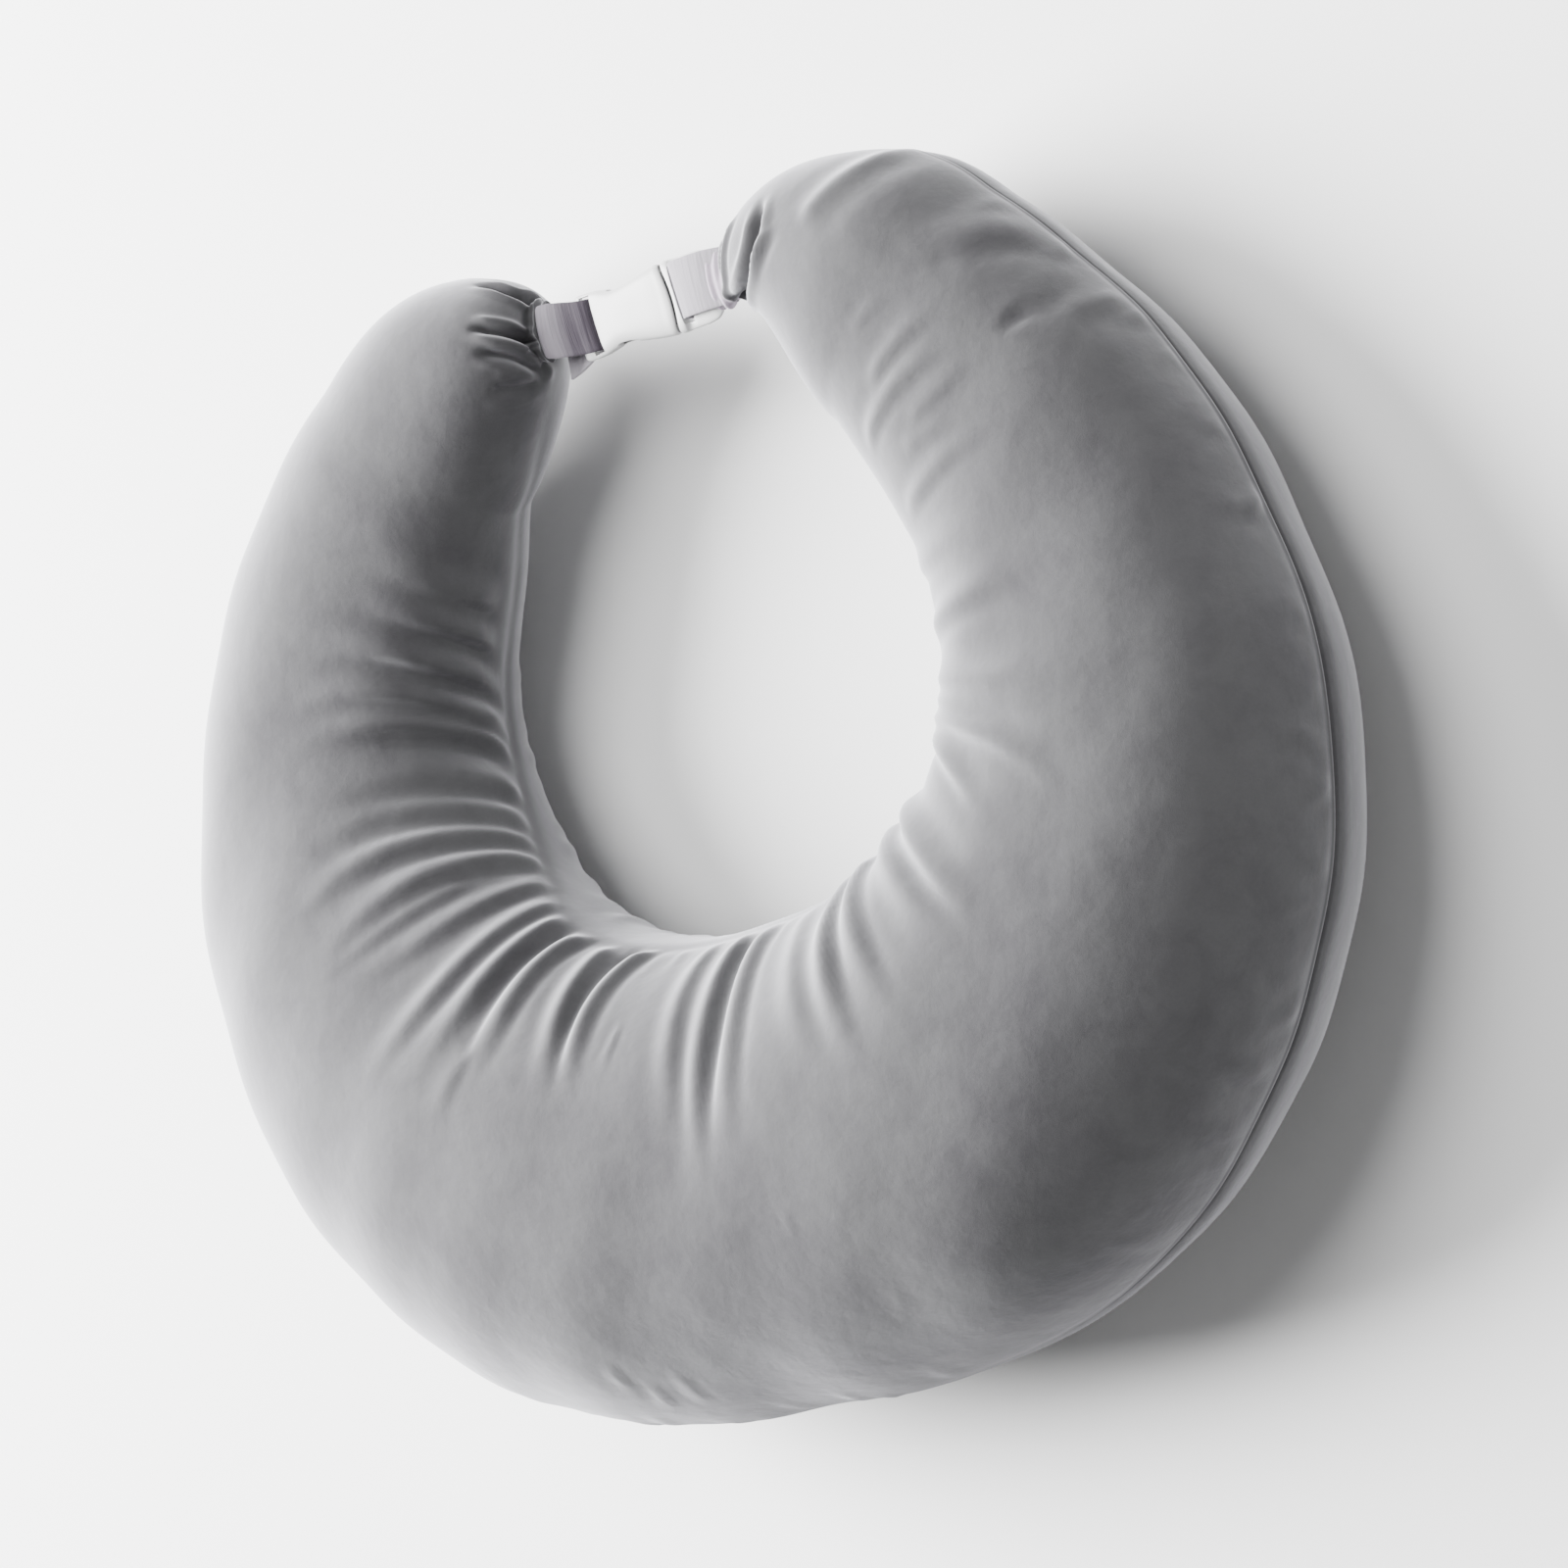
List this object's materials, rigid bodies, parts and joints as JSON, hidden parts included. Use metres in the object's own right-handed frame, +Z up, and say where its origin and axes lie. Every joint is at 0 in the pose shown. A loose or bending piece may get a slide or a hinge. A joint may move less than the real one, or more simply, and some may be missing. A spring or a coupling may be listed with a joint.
{
  "type": "u-shaped reading pillow",
  "caption": "U-shaped stuffed velvet pillow, gathered on its inner seam, with its horn ends joined by webbing straps and a side-release buckle.",
  "frame": {"origin": "on the surface that the pillow rests on, under the middle of its outline", "axes": "+Z up, out of the front panel of the pillow as it lies on its back; +Y towards the mouth of the U and its buckle; +X to the right horn, seen from above"},
  "size_m": [0.5374, 0.457, 0.1569],
  "materials": {
    "velvet": "short pile velvet, mid grey, soft sheen",
    "webbing": "woven webbing, pale lilac grey",
    "buckle_plastic": "moulded plastic, white, satin"
  },
  "bodies": {
    "root": {"pillow": "velvet", "strap_left": "webbing", "strap_right": "webbing", "buckle_socket": "buckle_plastic", "buckle_plug": "buckle_plastic"}
  },
  "joints": []
}
